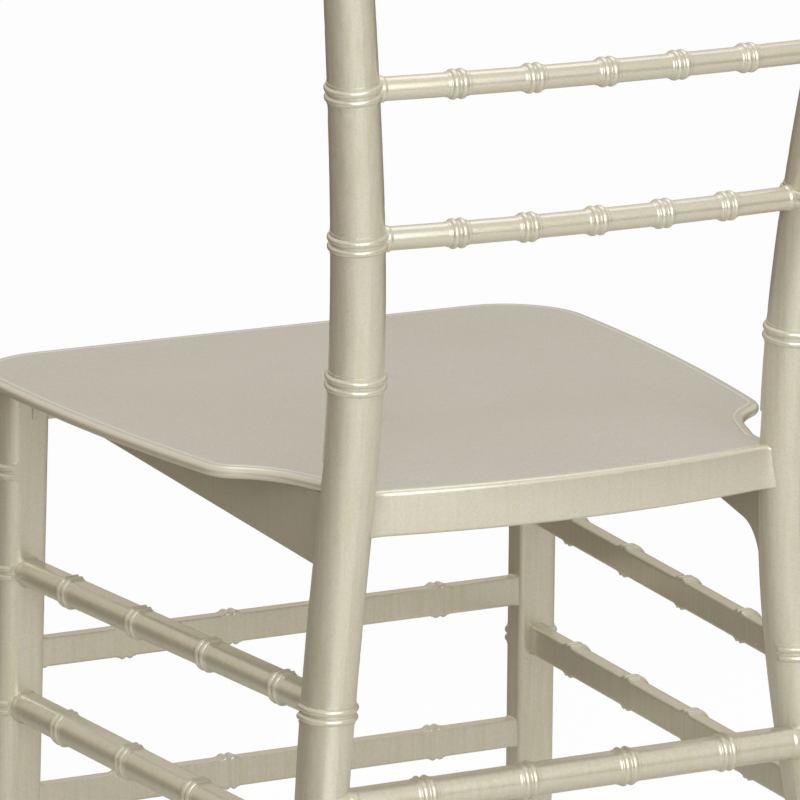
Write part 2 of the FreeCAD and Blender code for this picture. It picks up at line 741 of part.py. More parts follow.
def tenon_bars(name, start, end, across):
    """A flat bar whose ends are tenons, and the slightly larger bar of their mortises."""
    along = end - start
    turn = Rotation(along, across, Vector(), "XYZ")
    made = []
    for label, grow, more in (("_tenon", 0.0, ""), ("_mortise", play, " + 2 * sizes.fit_clearance")):
        thing = doc.addObject("Part::Box", name + label)
        thing.Length = along.Length + 2 * grow
        bind(thing, Width="sizes.rail_tenon_width" + more, Height="sizes.rail_tenon_height" + more)
        corner = Vector(-grow, -size("rail_tenon_width") / 2 - grow, -grow)
        thing.Placement = Placement(start + turn.multVec(corner), turn)
        made.append(thing)
    return made


def tenoned(name, body, tenon, members, others=()):
    """A rail coped to its members, with the ends of the tenon bar inside those members."""
    coped = cut(name + "_coped", body, [members] + list(others))
    ends = doc.addObject("Part::Common", name + "_ends")
    ends.Base = tenon
    ends.Tool = members
    return fuse(name, [coped, ends])


leg, post = leg_corner(panel_under), post_point(panel_under)
thick = size("rail_thickness")
front = leg + Vector(size("leg_width") - size("rail_inset") - thick / 2, 0, 0)
along = post - Vector(size("rail_rear_inset"), 0, 0) - front
length = along.Length
low_heel = -size("rail_back_drop")
heel = length - flat_reach(panel_under + low_heel)
small, reach, drop = size("front_gusset_radius"), size("gusset_reach"), size("gusset_drop")
slope = (size("rail_back_drop") - size("rail_front_drop")) / heel
low_toe = -size("rail_front_drop") - small
shrink = 1 - math.sqrt(0.5)
toe = Vector(0, low_toe, 0)
toe_middle = Vector(small * shrink, low_toe + small * (1 - shrink), 0)
toe_end = Vector(small, low_toe + small - slope * small, 0)
curl = Vector(heel - reach, low_heel + slope * reach, 0)
curl_middle = Vector(heel - 0.36 * reach, low_heel - 0.22 * reach, 0)
curl_end = Vector(heel - 0.1 * reach, low_heel - 0.8 * reach, 0)
tip = Vector(heel - 0.08 * reach, low_heel - drop, 0)
shoulder = Vector(heel + 0.1 * reach, low_heel - 0.8 * reach, 0)
corners = [tip, shoulder, Vector(length, low_heel, 0), Vector(length, 0, 0),
           Vector(-small, 0, 0), Vector(-small, low_toe, 0), toe]
edges = [Part.LineSegment(a, b) for a, b in zip(corners, corners[1:])]
edges += [Part.Arc(toe, toe_middle, toe_end), Part.LineSegment(toe_end, curl),
          Part.Arc(curl, curl_middle, curl_end), Part.LineSegment(curl_end, tip)]
side_bar = doc.addObject("PartDesign::Body", "side_rail_bar")
drawing = outline_sketch(side_bar, "XY_Plane", "side_rail_profile", edges)
pad(side_bar, drawing, "side_rail_plank", "sizes.rail_thickness", True)
side_bar.Placement = Placement(front, Rotation(along, Vector(0, 0, 1), Vector(), "XYZ"))
direction = Vector(along).normalize()
enter = size("tenon_depth")
level = Vector(0, 0, -size("rail_tenon_height") - size("tenon_lap"))
far = length - flat_reach(panel_under) + enter
tenon, mortise = tenon_bars("side_rail", front - direction * enter + level,
                            front + direction * far + level, Vector(-1, 0, 0))
sockets["leg"].append(mortise)
sockets["post"].append(mortise)
keep_pair("side_seat_rail", tenoned("side_rail", side_bar, tenon, left_members))
side_bars = [side_bar, mirrored("side_rail_bar_right", side_bar)]

front_bar = doc.addObject("Part::Box", "front_rail_bar")
bind(front_bar, Width="sizes.front_rail_thickness", Height="sizes.front_rail_height")
front_bar.Length = 2 * (leg.x + small)
thick = size("front_rail_thickness")
corner = Vector(-leg.x - small, leg.y - size("front_rail_setback") - thick,
                panel_under - size("front_rail_height"))
front_bar.Placement = Placement(corner, Rotation())
start = Vector(leg.x + enter, corner.y + thick / 2, corner.z + size("tenon_lap"))
tenon, mortise = tenon_bars("front_rail", Vector(-start.x, start.y, start.z), start, Vector(0, 1, 0))
sockets["leg"].append(mortise)
keep("front_seat_rail", tenoned("front_rail", front_bar, tenon, both_legs))


def band_edges(radius, depth, half_width):
    """Outline of a curved band: an outer and an inner arc, closed by two straight ends."""
    arcs = []
    for r in (radius, radius - depth):
        angle = math.asin(half_width / r)
        arcs.append([Vector(r * math.sin(a), r * math.cos(a), 0) for a in (-angle, 0, angle)])
    outer, inner = arcs
    return [Part.Arc(*outer), Part.LineSegment(outer[2], inner[2]), Part.Arc(*inner),
            Part.LineSegment(inner[0], outer[0])]


bow, half = size("rail_rear_bow"), size("rail_rear_half")
rear_radius = (half ** 2 + bow ** 2) / (2 * bow)
rear_low = size("seat_height") + size("rail_rear_rise") - size("rail_rear_height")
rear_bar = doc.addObject("PartDesign::Body", "rear_rail_bar")
edges = band_edges(rear_radius, size("rail_rear_depth"), post.x - size("rail_lip"))
drawing = outline_sketch(rear_bar, "XY_Plane", "rear_rail_plan", edges)
pad(rear_bar, drawing, "rear_rail_band", "sizes.rail_rear_height")
lip = size("rail_lip")
edges = band_edges(rear_radius - lip, size("rail_rear_depth"), post.x + thick)
above = Placement(Vector(0, 0, size("rail_rear_height")), Rotation())
rabbet = rear_bar.newObject("PartDesign::Pocket", "rear_rail_rabbet")
rabbet.Profile = outline_sketch(rear_bar, "XY_Plane", "rear_rail_step", edges, above)
rabbet.setExpression("Length", "sizes.seat_thickness + sizes.rail_rear_rise")
doc.recompute()
outer = rear_radius - lip / 2
long_edges = [f"Edge{k}" for k, edge in enumerate(rabbet.Shape.Edges, 1)
              if edge.BoundBox.ZLength < 0.01 and edge.Length > half
              and (edge.BoundBox.ZMax > size("rail_rear_height") - 0.01
                   or edge.BoundBox.ZMax < 0.01 and edge.BoundBox.YMax > outer)]
softening = rear_bar.newObject("PartDesign::Fillet", "rear_rail_rounding")
softening.Base = (rabbet, long_edges)
softening.setExpression("Radius", "sizes.rail_rear_round")
rear_bar.Placement = Placement(Vector(0, size("rail_rear_y") - rear_radius, rear_low), Rotation())
end = Vector(clear_half(panel_under) + size("rear_tenon_depth"), 0, rear_low + size("tenon_lap"))
end.y = size("rail_rear_y") - bow - size("rail_rear_depth") / 2
tenon, mortise = tenon_bars("rear_rail", Vector(-end.x, end.y, end.z), end, Vector(0, 1, 0))
sockets["post"].append(mortise)
keep("rear_seat_rail", tenoned("rear_rail", rear_bar, tenon, both_posts, side_bars))


# The seat panel

def tangent_arc(start, direction, end):
    """An arc that leaves a point in a direction and ends in another, and its last direction."""
    chord = end - start
    unit = Vector(chord).normalize()
    turn = math.atan2(direction.x * unit.y - direction.y * unit.x, direction.dot(unit))
    normal = Vector(unit.y, -unit.x, 0)
    middle = start + chord * 0.5 + normal * (chord.Length / 2 * math.tan(turn / 2))
    last = Rotation(Vector(0, 0, 1), math.degrees(turn)).multVec(unit)
    return Part.Arc(start, middle, end), last


def half_outline():
    """The seat's edge on the sitter's left, from the front to the rear post."""
    half, corner = size("seat_half_front"), size("seat_corner")
    ahead = -size("seat_front")
    stops = [Vector(half - corner, ahead, 0), Vector(half, ahead + corner, 0),
             Vector(size("seat_half_rear"), size("seat_ear_y"), 0),
             Vector(size("ear_tip_x"), size("ear_tip_y"), 0)]
    edges, direction = [], Vector(1, 0, 0)
    for a, b in zip(stops, stops[1:]):
        arc, direction = tangent_arc(a, direction, b)
        edges.append(arc)
    inside = size("notch_end_x") - 1
    lip_radius = rear_radius - lip
    rear_y = size("rail_rear_y") - rear_radius + math.sqrt(lip_radius ** 2 - inside ** 2)
    notch = [stops[3]] + [Vector(size(f"{word}_x"), size(f"{word}_y"), 0)
                          for word in ("notch", "notch_turn", "notch_end")]
    notch.append(Vector(inside, rear_y, 0))
    for a, b in zip(notch, notch[1:]):
        arc, direction = tangent_arc(a, direction, b)
        edges.append(arc)
    return edges, stops[0], notch[-1]


def flipped(arcs):
    """The same arcs on the other side, each run the other way."""
    twins = []
    for arc in arcs:
        low, high = arc.FirstParameter, arc.LastParameter
        points = [arc.value(low + share * (high - low)) for share in (1, 0.5, 0)]
        twins.append(Part.Arc(*[Vector(-p.x, p.y, 0) for p in points]))
    return twins


edges, front_end, rear_end = half_outline()
rear_middle = Vector(0, size("rail_rear_y") - lip, 0)
outline = [Part.LineSegment(Vector(-front_end.x, front_end.y, 0), front_end)] + edges
outline.append(Part.Arc(rear_end, rear_middle, Vector(-rear_end.x, rear_end.y, 0)))
outline += flipped(edges)[::-1]
panel = doc.addObject("PartDesign::Body", "seat_panel_board")
slab = pad(panel, outline_sketch(panel, "XY_Plane", "seat_plan", outline), "seat_slab",
           "sizes.seat_thickness")
panel.Placement = Placement(Vector(0, 0, panel_under), Rotation())
doc.recompute()
rim = [f"Edge{k}" for k, edge in enumerate(slab.Shape.Edges, 1)
       if edge.BoundBox.ZLength < 0.01 and edge.CenterOfMass.y < rear_end.y - 1]
rounding = panel.newObject("PartDesign::Fillet", "seat_edge")
rounding.Base = (slab, rim)
rounding.setExpression("Radius", "sizes.seat_edge_round")
dish = doc.addObject("Part::Sphere", "seat_hollow")
depth, reach = size("seat_dish"), size("dish_half_width")
dish.Radius = (reach ** 2 + depth ** 2) / (2 * depth)
dish.Placement = Placement(Vector(0, size("dish_y"), size("seat_height") - depth + dish.Radius.Value),
                           Rotation())


# Corner blocks under the panel and the screws that hold it

block_low = panel_under - size("block_height")
lap = size("block_lap")


def rail_middle(y):
    """A point of the left side rail's centre line, in plan."""
    there = front + along * ((y - front.y) / along.y)
    return Vector(there.x, there.y, 0)


CORNERS = {"front": (Vector(leg.x + lap, leg.y - lap, 0), 1), "rear": (rail_middle(post.y), -1)}
screws, bores = [], []
for where, (start, turn) in CORNERS.items():
    reach = size("block_leg") + lap
    points = [start, start + Vector(-reach, 0, 0), rail_middle(start.y + turn * reach)]
    if turn < 0:
        points.reverse()
    wedge = doc.addObject("PartDesign::Body", f"corner_block_{where}")
    drawing = outline_sketch(wedge, "XY_Plane", f"corner_block_{where}_plan",
                             corner_lines(points))
    pad(wedge, drawing, f"corner_block_{where}_body", "sizes.block_height")
    wedge.Placement = Placement(Vector(0, 0, block_low), Rotation())
    spot = (points[0] + points[1] + points[2]) / 3
    shank_low = Vector(spot.x, spot.y, block_low)
    shank_top = shank_low + Vector(0, 0, size("block_height") + size("screw_bite"))
    shank = rod(f"screw_shank_{where}", shank_low, shank_top, "sizes.screw_radius")
    head = rod(f"screw_head_{where}", shank_low - Vector(0, 0, size("screw_head_height")), shank_low,
               "sizes.screw_head_radius")
    bore = rod(f"screw_bore_{where}", shank_low, shank_top + Vector(0, 0, play),
               "sizes.screw_radius + sizes.fit_clearance")
    screw = fuse(f"screw_{where}", [shank, head])
    screws += [screw, mirrored(f"screw_{where}_right", screw)]
    bores += [bore, mirrored(f"screw_bore_{where}_right", bore)]
    near = [left_members, side_bar, front_bar if where == "front" else rear_bar, bore]
    keep_pair(f"corner_block_{where}", cut(f"corner_block_{where}_left", wedge, near))

keep("seat_screws", group("seat_screws", screws))
keep("seat_panel", cut("seat_panel", panel, [group("panel_cuts", [dish, both_posts] + bores)]))


# Foot glides

STEM = "sizes.glide_stem_radius"
leg_middle = leg_corner(0) + Vector(size("leg_width") / 2, -size("leg_depth") / 2, 0)
FEET = {"front": (leg_middle, "leg"), "rear": (post_point(size("glide_height")), "post")}
for where, (spot, owner) in FEET.items():
    low = Vector(spot.x, spot.y, 0)
    top = Vector(spot.x, spot.y, size("glide_height"))
    tip = top + Vector(0, 0, size("glide_stem_length"))
    disc = rod(f"glide_disc_{where}", low, top, "sizes.glide_radius")
    stem = rod(f"glide_stem_{where}", top, tip, STEM)
    sockets[owner].append(rod(f"glide_bore_{where}", top, tip + Vector(0, 0, play),
                              STEM + " + sizes.fit_clearance"))
    keep_pair(f"foot_glide_{where}", fuse(f"foot_glide_{where}_left", [disc, stem]))

keep_pair("front_leg", cut("front_leg_left", legs[0], sockets["leg"]))
keep_pair("rear_post", cut("rear_post_left", posts[0], sockets["post"]))
doc.recompute()


# The origin is on the floor, midway between the foremost and the rearmost place

front_most = nodes["seat_panel"].Shape.optimalBoundingBox().YMin
rear_most = nodes["crest_rail"].Shape.optimalBoundingBox().YMax
shift = Placement(Vector(0, -(front_most + rear_most) / 2, 0), Rotation())
for name, thing in nodes.items():
    thing.Placement = shift * thing.Placement

for thing in doc.Objects:
    if "Invalid" in thing.State or "Error" in thing.State:
        raise RuntimeError(f"{thing.Name} did not build")
for name, thing in sorted(nodes.items()):
    if thing.Shape.isNull() or not thing.Shape.isValid() or not thing.Shape.Solids:
        raise RuntimeError(f"{name} is not a valid solid")
    thing.Shape.exportStep(os.path.join("parts", name + ".step"))
    print(name, len(thing.Shape.Solids), round(thing.Shape.Volume))
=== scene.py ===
# %% [markdown]
# # A stacking chair of champagne resin
# The chair is moulded from resin that is coated to look like painted wood: a pearly champagne
# colour with a soft gloss. Posts, legs, stretchers and rungs imitate cane, with a pair of
# raised rings where a cane has its nodes. The solid model gives each member its place. Here
# the bars, the seat and its rear rail are drawn again as smooth surfaces, and every other
# member keeps its solid and gets a detailed finish. Depths are measured from the waist of the
# rear posts, to about half a millimetre; MIDDLE is how far it lies behind the frame's origin.

# %% Load the solid model as the frame
import json
import math

import bpy
import numpy as np
from mathutils import Matrix, Vector


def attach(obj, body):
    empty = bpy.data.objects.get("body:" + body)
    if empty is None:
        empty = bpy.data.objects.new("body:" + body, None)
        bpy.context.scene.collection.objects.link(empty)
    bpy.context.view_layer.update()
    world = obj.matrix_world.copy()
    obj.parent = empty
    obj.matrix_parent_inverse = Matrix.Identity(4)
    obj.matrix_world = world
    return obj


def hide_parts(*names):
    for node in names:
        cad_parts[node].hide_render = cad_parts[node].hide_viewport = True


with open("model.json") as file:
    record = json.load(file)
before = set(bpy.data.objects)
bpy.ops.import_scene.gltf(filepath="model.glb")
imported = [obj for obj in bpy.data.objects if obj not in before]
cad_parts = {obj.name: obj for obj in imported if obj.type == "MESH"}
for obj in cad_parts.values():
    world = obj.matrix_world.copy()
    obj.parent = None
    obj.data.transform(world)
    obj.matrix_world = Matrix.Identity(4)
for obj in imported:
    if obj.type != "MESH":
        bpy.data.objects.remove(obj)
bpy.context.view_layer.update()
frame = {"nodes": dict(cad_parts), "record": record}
MM = 0.001
MIDDLE = 0.17745
print("members of the solid model:", len(frame["nodes"]))

# %% [markdown]
# ## The camera
# The chair is seen from behind, over the sitter's left shoulder. A long lens stands almost four
# metres away, so that lines that run away from the camera hardly converge. The camera is built
# from three directions, right, up and back, which is plainer than turning it by angles. The
# point midway between the posts, at the height of their waist, serves as an anchor: its place
# on the chair and its place in the picture say where the camera stands.

# %% Camera behind the chair
AZIMUTH, ELEVATION, ROLL = (math.radians(a) for a in (152.373, 13.504, 0.363))
FOCAL_PIXELS, DISTANCE = 6635.5, 3.84395
PICTURE, AXIS_X, AXIS_Y = 800, 398.88, 423.252
ANCHOR, ANCHOR_X, ANCHOR_Y = Vector((0, MIDDLE, 0.5134)), 578.454, 356.217
SENSOR = 36

level = Vector((math.cos(AZIMUTH), math.sin(AZIMUTH), 0))
back = Vector((math.sin(AZIMUTH) * math.cos(ELEVATION),
               -math.cos(AZIMUTH) * math.cos(ELEVATION), math.sin(ELEVATION)))
rise = back.cross(level)
right = level * math.cos(ROLL) + rise * math.sin(ROLL)
up = rise * math.cos(ROLL) - level * math.sin(ROLL)
per_pixel = DISTANCE / FOCAL_PIXELS
eye = (ANCHOR - right * (ANCHOR_X - AXIS_X) * per_pixel + up * (ANCHOR_Y - AXIS_Y) * per_pixel
       + back * DISTANCE)

lens = bpy.data.cameras.new("camera")
camera = bpy.data.objects.new("camera", lens)
bpy.context.collection.objects.link(camera)
pose = Matrix((right, up, back)).transposed().to_4x4()
pose.translation = eye
camera.matrix_world = pose
lens.sensor_width = SENSOR
lens.lens = FOCAL_PIXELS / PICTURE * SENSOR
lens.shift_x = (PICTURE / 2 - AXIS_X) / PICTURE
lens.shift_y = (AXIS_Y - PICTURE / 2) / PICTURE
bpy.context.scene.camera = camera
print("camera at", tuple(round(c, 3) for c in eye))

# %% [markdown]
# ## Shader maths as Python expressions
# A material is a network of nodes. Written by hand, each sum costs several lines, so a small
# class wraps a node's output and overloads the operators: an expression such as
# 1 - mask * 0.3 adds its Math nodes by itself. Every other kind of node comes from one method.
# A few helpers then name the steps that all the materials share.

# %% A socket that can be added, subtracted and multiplied
class Wire:
    """The output of a node; arithmetic with it adds Math nodes to the same network."""

    def __init__(self, tree, socket):
        self.tree, self.socket = tree, socket

    def node(self, kind, sockets, out=0, **settings):
        """Adds a node: its settings are set first, then the values or wires of its sockets."""
        made = self.tree.nodes.new(kind)
        for word, value in settings.items():
            setattr(made, word, value)
        for word, value in sockets.items():
            if isinstance(value, Wire):
                value.into(made, word)
            else:
                made.inputs[word].default_value = value
        return Wire(self.tree, made.outputs[out])

    def into(self, made, word):
        """Links this output to a socket of a node."""
        self.tree.links.new(self.socket, made.inputs[word])

    def maths(self, operation, first, second):
        """Adds a Math node."""
        return self.node("ShaderNodeMath", {0: first, 1: second}, operation=operation)

    def __add__(self, other):
        return self.maths("ADD", self, other)

    def __sub__(self, other):
        return self.maths("SUBTRACT", self, other)

    def __mul__(self, other):
        return self.maths("MULTIPLY", self, other)

    def __rsub__(self, other):
        return self.maths("SUBTRACT", other, self)

    __radd__, __rmul__ = __add__, __mul__

    def between(self, low, high):
        """0 below low, 1 above high, and a smooth step from one to the other."""
        return self.node("ShaderNodeMapRange", {"Value": self, "From Min": low, "From Max": high},
                         interpolation_type="SMOOTHSTEP")


# %% Steps that the materials share
def blank_material(name):
    """A new material, its surface shader, and Object coordinates as a wire to build on."""
    made = bpy.data.materials.new(name)
    made.use_nodes = True
    tree = made.node_tree
    place = Wire(tree, None).node("ShaderNodeTexCoord", {}, out="Object")
    return made, tree.nodes["Principled BSDF"], place


def blend_colours(share, first, second):
    """One colour laid over another; the share says how much of the second shows."""
    return share.node("ShaderNodeMix", {0: share, 6: first, 7: second}, out=2, data_type="RGBA")


def speckle(place, scale, detail=2.0):
    """Soft irregular noise, as a number from 0 to 1. The scale is its spots in a metre."""
    return place.node("ShaderNodeTexNoise", {"Vector": place, "Scale": scale, "Detail": detail})


def stretched(place, lay):
    """Coordinates scaled along each axis: a small number draws a pattern out along its axis."""
    return place.node("ShaderNodeMapping", {"Vector": place, "Scale": lay})


def height_of(place):
    """The third coordinate alone."""
    return place.node("ShaderNodeSeparateXYZ", {"Vector": place}, out=2)


def apart_from(place, point):
    """The distance from a point."""
    return place.node("ShaderNodeVectorMath", {0: place, 1: point}, out=1, operation="DISTANCE")


def dress(shader, base, roughness, height, depth, strength):
    """Gives a surface its colour and roughness, and lets a height tilt the light on it."""
    tilt = height.node("ShaderNodeBump", {"Height": height, "Distance": depth,
                                          "Strength": strength})
    base.into(shader, "Base Color")
    roughness.into(shader, "Roughness")
    tilt.into(shader, "Normal")


# %% [markdown]
# ## Champagne resin
# The coat holds fine pearl flakes. Near by, it shows as a faint grain of lighter and darker
# specks; from afar the colour is a greyed gold that turns almost white where it reflects a
# lamp. A base that is about half metallic gives that change. Fine brush lines of a warmer tone
# run upright on the frame and its rails, level on the back's bars and sideways on the seat. The
# moulded surface isn't perfectly smooth either: it has a slow waviness, as lacquer has, and a
# fine tooth. All patterns read Object coordinates, so they sit still on the chair and have the
# same scale on every member.

# %% The resin's material
FLAKES, GRAIN, WAVES, STREAKS, CLOUDS = 1500, 700, 160, 330, 9
CLOUD_EDGES, STREAK_EDGES = (0.3, 0.7), (0.4, 0.65)
FLAKE_EDGES, GRAIN_EDGES = (0.5, 0.72), (0.3, 0.6)
DARKER, LIGHTER, WARMER, DIM = (0.98,) * 3, (1.02,) * 3, (0.96, 0.93, 0.86), (0.6,) * 3
PEARL, GLINT, SHADE = (0.93, 0.9, 0.82, 1), 0.2, 0.16
CLOUD_DULL, GRAIN_DULL, DULL_OFFSET = 0.08, 0.1, 0.08
GRAIN_HEIGHT, FLAKE_HEIGHT, WAVE_HEIGHT = 0.35, 0.25, 0.4
BUMP_DEPTH, BUMP_STRENGTH = 0.08 * MM, 0.45
COAT_WEIGHT, COAT_ROUGHNESS = 0.5, 0.2


def tinted(colour, tint):
    """A colour times a tint, channel by channel, made opaque."""
    return tuple(c * t for c, t in zip(colour, tint)) + (1,)


def resin(name, colour, gloss, lay, brush=0.8, flake=1.0, wave=1.0, metal=0.52):
    """A pearly coat: its colour and roughness vary slightly, and flakes and waves tilt the light.

    The lay draws out the brush lines. Brush, flake and wave say how strongly the brush lines,
    the specks and the waviness show, and metal how metallic the base is.
    """
    made, shader, place = blank_material(name)
    flakes, grain = speckle(place, FLAKES, 1.0), speckle(place, GRAIN)
    cloud = speckle(place, CLOUDS, 3.0)
    streak = speckle(stretched(place, lay), STREAKS, 3.0)
    base = blend_colours(cloud.between(*CLOUD_EDGES), tinted(colour, DARKER),
                         tinted(colour, LIGHTER))
    base = blend_colours(streak.between(*STREAK_EDGES) * brush, base, tinted(colour, WARMER))
    base = blend_colours(flakes.between(*FLAKE_EDGES) * GLINT * flake, base, PEARL)
    shade = (1 - grain.between(*GRAIN_EDGES)) * SHADE * flake
    base = blend_colours(shade, base, tinted(colour, DIM))
    roughness = cloud * CLOUD_DULL + grain * GRAIN_DULL + (gloss - DULL_OFFSET)
    height = (grain * GRAIN_HEIGHT + flakes * FLAKE_HEIGHT * flake
              + speckle(place, WAVES) * WAVE_HEIGHT * wave)
    dress(shader, base, roughness, height, BUMP_DEPTH, BUMP_STRENGTH)
    shader.inputs["Metallic"].default_value = metal
    shader.inputs["Coat Weight"].default_value = COAT_WEIGHT
    shader.inputs["Coat Roughness"].default_value = COAT_ROUGHNESS
    return made


# The seat's colour is the champagne painted greyer and darker: a painted reflection of the grey
# that the seat's top mirrors, though the whole chair is one resin.
CHAMPAGNE, SEAT_PAINTED_GREY = (0.68, 0.65, 0.55), (0.53, 0.52, 0.49)
FRAME_GLOSS, SEAT_GLOSS = 0.3, 0.4
UPRIGHT, LEVEL, SIDEWAYS = (1, 1, 0.03), (0.03, 0.03, 1), (0.15, 1, 1)
frame_resin = resin("champagne_frame", CHAMPAGNE, FRAME_GLOSS, UPRIGHT)
back_resin = resin("champagne_back", CHAMPAGNE, FRAME_GLOSS, LEVEL, wave=0.5)
rail_resin = resin("champagne_rails", CHAMPAGNE, FRAME_GLOSS, UPRIGHT, brush=0.4)
# The seat's plate takes the painted grey, a painted reflection.
seat_resin = resin("champagne_seat", SEAT_PAINTED_GREY, SEAT_GLOSS, SIDEWAYS, brush=0.25, flake=1.3,
                   wave=0.5, metal=0.4)
print("resin materials:", frame_resin.name, back_resin.name, rail_resin.name, seat_resin.name)

# %% [markdown]
# ## Glides and screws
# Under each leg sits a dull plastic glide, scuffed in fine lines by the floor. The screws below
# the seat are zinc-plated steel, with fine turned lines and slightly bluish patches.

# %% The materials of glides and screws
SCRATCH, DIRT, DIRT_TOP, DIRT_SHARE = (0.5, 0.47, 0.4, 1), (0.1, 0.09, 0.075, 1), 4 * MM, 0.55
# Each pattern's stretch, spots in a metre, and the values between which it sets in
ALONG, ACROSS = ((1, 14, 2), 420, (0.55, 0.7)), ((14, 1, 2), 380, (0.58, 0.72))
TURNED, TURNINGS, PATCHES, PATCH_EDGES = (3, 3, 20), 500, 200, (0.4, 0.6)
ZINC, BLUE_ZINC = (0.6, 0.6, 0.6, 1), (0.5, 0.54, 0.6, 1)
PLASTIC_DULL, WORN_DULL, STEEL_DULL, TURNED_DULL = 0.5, 0.2, 0.2, 0.25


def scuffed_plastic(name, colour):
    """Matt plastic with fine scratches in two directions and a dirty lower edge."""
    made, shader, place = blank_material(name)
    along, across = (speckle(stretched(place, lay), spots).between(*edges)
                     for lay, spots, edges in (ALONG, ACROSS))
    worn = along * 0.5 + across * 0.5
    dirt = (1 - height_of(place).between(0, DIRT_TOP)) * DIRT_SHARE
    base = blend_colours(dirt, blend_colours(worn, colour, SCRATCH), DIRT)
    dress(shader, base, worn * WORN_DULL + PLASTIC_DULL, worn, 0.1 * MM, 0.5)
    return made


def plated_steel(name):
    """Zinc-plated steel: metallic, with a fine turned grain and slightly blue patches."""
    made, shader, place = blank_material(name)
    grain = speckle(stretched(place, TURNED), TURNINGS, 3.0)
    base = blend_colours(speckle(place, PATCHES).between(*PATCH_EDGES), ZINC, BLUE_ZINC)
    dress(shader, base, grain * TURNED_DULL + STEEL_DULL, grain, 0.05 * MM, 0.4)
    shader.inputs["Metallic"].default_value = 1.0
    return made


glide_plastic = scuffed_plastic("glide_plastic", (0.28, 0.25, 0.2, 1))
screw_steel = plated_steel("screw_steel")
print("small parts:", glide_plastic.name, screw_steel.name)

# %% [markdown]
# ## Dressing the solid members
# Each solid of the model has one material slot. The finish is chosen by the slot that the
# model's record names, so that a post and a leg share one resin, and the rails another.

# %% Finishes of the solids
FINISH = {"resin_frame": frame_resin, "resin_back": back_resin, "resin_rails": rail_resin,
          "resin_seat": seat_resin, "glide_plastic": glide_plastic, "screw_steel": screw_steel}
SLOT_OF = {part["node"]: part["material_slot"] for part in frame["record"]["subparts"]}
for node, solid in frame["nodes"].items():
    for place_for_finish in solid.material_slots:
        place_for_finish.material = FINISH[SLOT_OF[node]]
print("finished members:", len(SLOT_OF))

# %% [markdown]
# ## Surfaces from rings of points
# A bar, a rail and even the seat are closed skins: rings of points, one behind another, with a
# pole at each end. A bar could also be a curve with a bevel, but a bevel can't change its
# section where a ring stands up. With numpy the whole grid is worked out at once, and each ring
# may have its own outline.

# %% A closed skin that stands for a solid
def skin(name, rings, finish, node):
    """Joins each ring of points to the next and closes both ends round their middles.

    Ring points run counter-clockwise seen from the far end, so that the faces point outwards.
    """
    rows, columns = rings.shape[:2]
    points = np.vstack([rings.reshape(-1, 3), rings[0].mean(0), rings[-1].mean(0)])
    row, column = np.meshgrid(np.arange(rows - 1), np.arange(columns), indexing="ij")
    beside = (column + 1) % columns
    sides = np.stack([row * columns + column, row * columns + beside,
                      (row + 1) * columns + beside, (row + 1) * columns + column], -1)
    here, there = np.arange(columns), (np.arange(columns) + 1) % columns
    first, last, start = rows * columns, rows * columns + 1, (rows - 1) * columns
    low_end = np.stack([np.full(columns, first), there, here], -1)
    high_end = np.stack([np.full(columns, last), start + here, start + there], -1)
    mesh = bpy.data.meshes.new(name)
    mesh.from_pydata(points.tolist(), [],
                     sides.reshape(-1, 4).tolist() + low_end.tolist() + high_end.tolist())
    mesh.polygons.foreach_set("use_smooth", np.ones(len(mesh.polygons), bool))
    mesh.materials.append(finish)
    mesh.update()
    made = bpy.data.objects.new(name, mesh)
    bpy.context.collection.objects.link(made)
    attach(made, "root")
    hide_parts(node)
    return made


# %% [markdown]
# ## The nodes of the cane
# Every bar carries raised nodes: two round rings side by side on a low band. Cut as separate
# rings they would meet the bar in a hard line. Here the node is a height above the bar, and
# the heights of bar, band and rings are blended by a soft maximum, which rounds the feet of the
# rings as a mould does.

# %% Height of the nodes along a bar
RING_PITCH, RING_RISE, RING_ROUND = 5.3 * MM, 1.9 * MM, 2.3 * MM
BAND_RISE, BAND_REACH = 0.45 * MM, 6.4 * MM
COLLAR_RISE, COLLAR_REACH = 0.7 * MM, 2.2 * MM
MELT, EDGE_SLOPE = 0.13 * MM, 2
DENSE_REACH, DENSE_STEP, PLAIN_PLACES = 8.4, 0.35, 30


def soft_most(heights, melt):
    """The largest of several heights, rounded where two of them cross: melt times the
    logarithm of the sum of their exponentials."""
    return melt * np.logaddexp.reduce(np.array(heights) / melt, axis=0)


def node_rise(along, marks, roots):
    """How far a bar swells at each place along it: rings at the marks, a low collar at the roots.

    A ring is an arc of a circle whose top stands RING_RISE above the bar: its height is the rise
    less the radius times one minus the root of one minus the offset squared. Band and collar
    are steps whose edges fall by EDGE_SLOPE.
    """
    heights = [np.zeros_like(along)]
    for mark in marks:
        apart = along - mark
        heights.append(BAND_RISE - EDGE_SLOPE * np.maximum(np.abs(apart) - BAND_REACH, 0))
        for side in (-0.5, 0.5):
            off = (apart - side * RING_PITCH) / RING_ROUND
            arc = RING_RISE - RING_ROUND * (1 - np.sqrt(np.maximum(1 - off ** 2, 0)))
            heights.append(np.where(np.abs(off) < 1, arc, -RING_ROUND))
    for root in roots:
        beyond = np.maximum(np.abs(along - root) - COLLAR_REACH, 0)
        heights.append(COLLAR_RISE - EDGE_SLOPE * beyond)
    return soft_most(heights, MELT)


def places_along(length, marks, roots):
    """Places for the rings of a bar: sparse on the plain runs and dense where it swells."""
    fine = np.arange(-DENSE_REACH, DENSE_REACH + DENSE_STEP / 2, DENSE_STEP) * MM
    close = [mark + fine for mark in marks] + [root + fine[::2] for root in roots]
    plain = np.linspace(0, length, PLAIN_PLACES)
    return np.unique(np.clip(np.concatenate([plain] + close), 0, length))


# %% [markdown]
# ## Rungs, crest rail and spindles
# The back has three rungs and a heavier crest rail. All four are round bars on a shallow arc
# that bows backwards between the posts. The spindles between the third rung and the crest rail
# are straight. The arc is a circle in a level plane, so a place along it is an angle.

